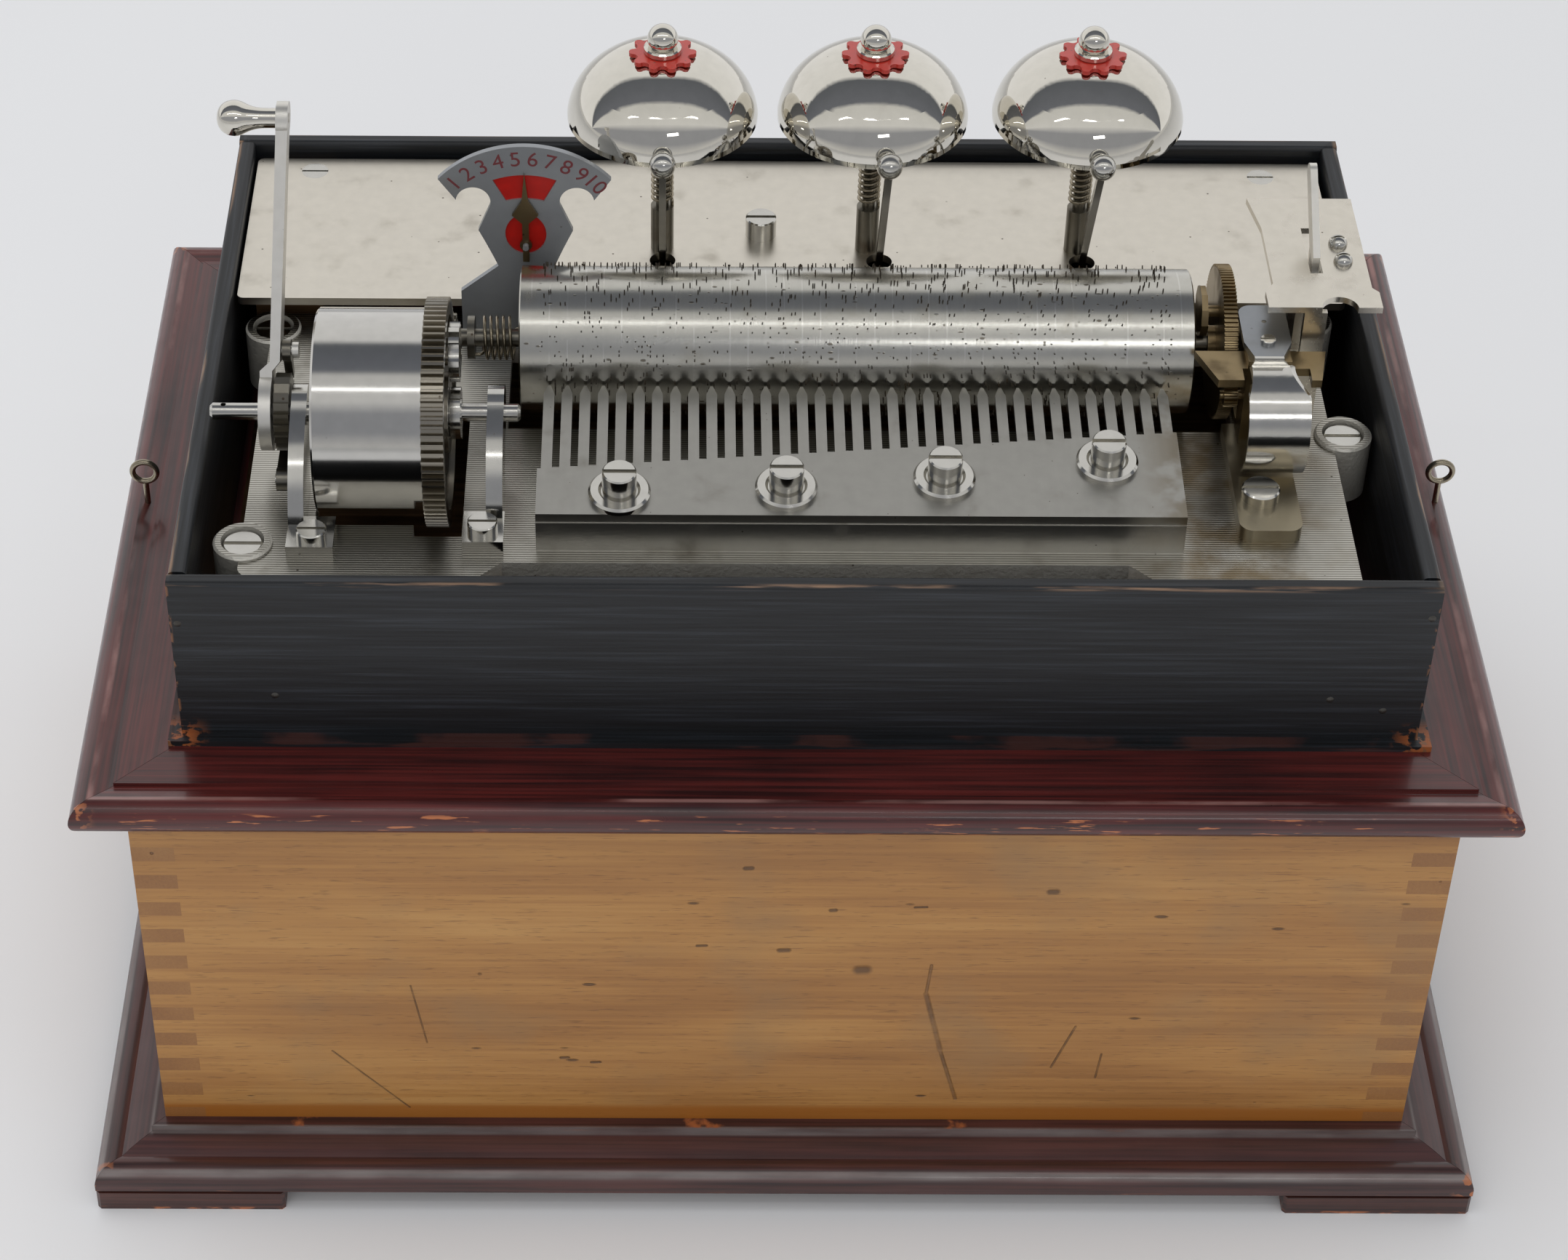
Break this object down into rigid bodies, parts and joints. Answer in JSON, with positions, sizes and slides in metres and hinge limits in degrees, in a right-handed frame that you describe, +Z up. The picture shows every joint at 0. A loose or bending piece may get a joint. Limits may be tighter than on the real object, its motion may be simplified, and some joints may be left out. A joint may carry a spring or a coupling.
{
  "type": "cylinder music box with bells",
  "caption": "Wooden cylinder music box without its lid: wind-up barrel, pinned cylinder, steel comb, governor and bells struck by small hammers.",
  "frame": {"origin": "on the table under the middle of the case", "axes": "+X to the right along the case's long side, +Y from the comb to the bells, +Z up"},
  "size_m": [0.322, 0.221, 0.2312],
  "materials": {
    "pine_wood": "waxed pine with dents",
    "dark_mahogany": "dark stained and polished",
    "black_stain": "ebonised",
    "inner_board": "plain",
    "bright_steel": "polished",
    "comb_steel": "fine ground",
    "dark_steel": "aged",
    "nickel_plate": "nickel plated",
    "bell_nickel": "mirror polished",
    "cast_base": "planed",
    "brass": "aged",
    "red_enamel": "red"
  },
  "bodies": {
    "case": {"feet": "dark_mahogany", "plinth_mouldings": "dark_mahogany", "bottom_board": "inner_board", "front_board": "pine_wood", "back_board": "pine_wood", "end_boards": "pine_wood", "flange_mouldings": "dark_mahogany", "tray_step": "black_stain", "tray_boards": "black_stain", "sound_board": "inner_board", "screw_eyes": "dark_steel", "bedplate": "nickel_plate", "bedplate_screws": "bright_steel", "deck_plate": "nickel_plate", "deck_blocks": "inner_board", "deck_screws": "bright_steel", "comb": "comb_steel", "comb_base": "cast_base", "comb_screws": "bright_steel", "comb_washers": "bright_steel", "left_cock": "bright_steel", "right_cock": "bright_steel", "movement_screws": "bright_steel", "bells": "bell_nickel", "bell_posts": "bright_steel", "bell_springs": "brass", "bell_washers": "red_enamel", "bell_nuts": "bell_nickel", "hammer_rail": "dark_steel", "governor_frame": "bright_steel", "endstone_plate": "nickel_plate", "governor_guard": "bright_steel", "control_plate": "nickel_plate", "control_screws": "bright_steel", "indicator_dial": "nickel_plate", "cylinder_bearings": "brass"},
    "barrel": {"barrel_drum": "brass", "great_wheel": "brass", "mainspring": "dark_steel"},
    "stop_star_body": {"stop_star": "bright_steel"},
    "winding_arbor": {"barrel_arbor": "bright_steel", "ratchet_wheel": "bright_steel", "stop_finger": "bright_steel"},
    "lever": {"winding_lever": "bright_steel", "lever_knob": "bright_steel"},
    "lever_pawl_body": {"lever_pawl": "dark_steel"},
    "click_body": {"click": "dark_steel"},
    "cylinder_shaft": {"cylinder_arbor": "bright_steel", "cylinder_spring": "brass", "cylinder_wheel": "brass", "drive_pinion": "brass"},
    "cylinder": {"cylinder_shell": "brass"},
    "tune_snail": {"change_snail": "bright_steel"},
    "pointer": {"indicator_pointer": "brass"},
    "governor_arbor": {"governor_wheel": "brass"},
    "governor_fly": {"worm_fly": "bright_steel"},
    "start_lever": {"stop_lever": "bright_steel"},
    "left_hammer": {"hammer_1": "bright_steel"},
    "middle_hammer": {"hammer_2": "bright_steel"},
    "right_hammer": {"hammer_3": "bright_steel"}
  },
  "joints": [
    {"name": "barrel_spin", "type": "hinge", "parent": "case", "child": "barrel", "pos_m": [-0.093, -0.0285, 0.173], "axis": [1, 0, 0], "continuous": true},
    {"name": "stop_star_turn", "type": "hinge", "parent": "barrel", "child": "stop_star_body", "pos_m": [-0.0748, -0.02417, 0.18632], "axis": [1, 0, 0], "range_deg": [0, 288]},
    {"name": "arbor_wind", "type": "hinge", "parent": "case", "child": "winding_arbor", "pos_m": [-0.112, -0.0285, 0.173], "axis": [1, 0, 0], "range_deg": [0, 1440]},
    {"name": "winding_lever_swing", "type": "hinge", "parent": "case", "child": "lever", "pos_m": [-0.116, -0.0285, 0.173], "axis": [1, 0, 0], "range_deg": [-25, 70]},
    {"name": "lever_pawl_lift", "type": "hinge", "parent": "lever", "child": "lever_pawl_body", "pos_m": [-0.112, -0.02135, 0.18445], "axis": [1, 0, 0], "range_deg": [0, 25]},
    {"name": "click_lift", "type": "hinge", "parent": "case", "child": "click_body", "pos_m": [-0.1123, -0.04, 0.163], "axis": [1, 0, 0], "range_deg": [-12, 0]},
    {"name": "cylinder_turn", "type": "hinge", "parent": "case", "child": "cylinder_shaft", "pos_m": [0, 0.0013, 0.1714], "axis": [1, 0, 0], "continuous": true},
    {"name": "cylinder_shift", "type": "slide", "parent": "cylinder_shaft", "child": "cylinder", "axis": [1, 0, 0], "range_m": [-0.0018, 0.0018]},
    {"name": "snail_index", "type": "hinge", "parent": "cylinder_shaft", "child": "tune_snail", "pos_m": [0.092, 0.0013, 0.18], "axis": [1, 0, 0], "range_deg": [-162, 162]},
    {"name": "pointer_swing", "type": "hinge", "parent": "case", "child": "pointer", "pos_m": [-0.0609, 0.0213, 0.183], "axis": [0, -1, 0], "range_deg": [-36, 36]},
    {"name": "governor_wheel_spin", "type": "hinge", "parent": "case", "child": "governor_arbor", "pos_m": [0.104, -0.0185, 0.1714], "axis": [1, 0, 0], "continuous": true},
    {"name": "fly_spin", "type": "hinge", "parent": "case", "child": "governor_fly", "pos_m": [0.1043, -0.0095, 0.172], "axis": [0, 0, 1], "continuous": true},
    {"name": "start_stop_swing", "type": "hinge", "parent": "case", "child": "start_lever", "pos_m": [0.1167, 0.005, 0.174], "axis": [1, 0, 0], "range_deg": [-18, 0]},
    {"name": "left_hammer_swing", "type": "hinge", "parent": "case", "child": "left_hammer", "pos_m": [-0.0297, 0.0491, 0.15], "axis": [1, 0, 0], "range_deg": [0, 5]},
    {"name": "middle_hammer_swing", "type": "hinge", "parent": "case", "child": "middle_hammer", "pos_m": [0.0215, 0.0491, 0.15], "axis": [1, 0, 0], "range_deg": [0, 5]},
    {"name": "right_hammer_swing", "type": "hinge", "parent": "case", "child": "right_hammer", "pos_m": [0.0695, 0.0491, 0.15], "axis": [1, 0, 0], "range_deg": [0, 5]}
  ],
  "couplings": [
    {"joint": "cylinder_turn", "follows": "barrel_spin", "ratio": -5},
    {"joint": "governor_wheel_spin", "follows": "barrel_spin", "ratio": 35},
    {"joint": "fly_spin", "follows": "barrel_spin", "ratio": 1050},
    {"joint": "snail_index", "follows": "cylinder_shift", "rad_per_m": 1570.8},
    {"joint": "pointer_swing", "follows": "cylinder_shift", "rad_per_m": 349.07}
  ]
}
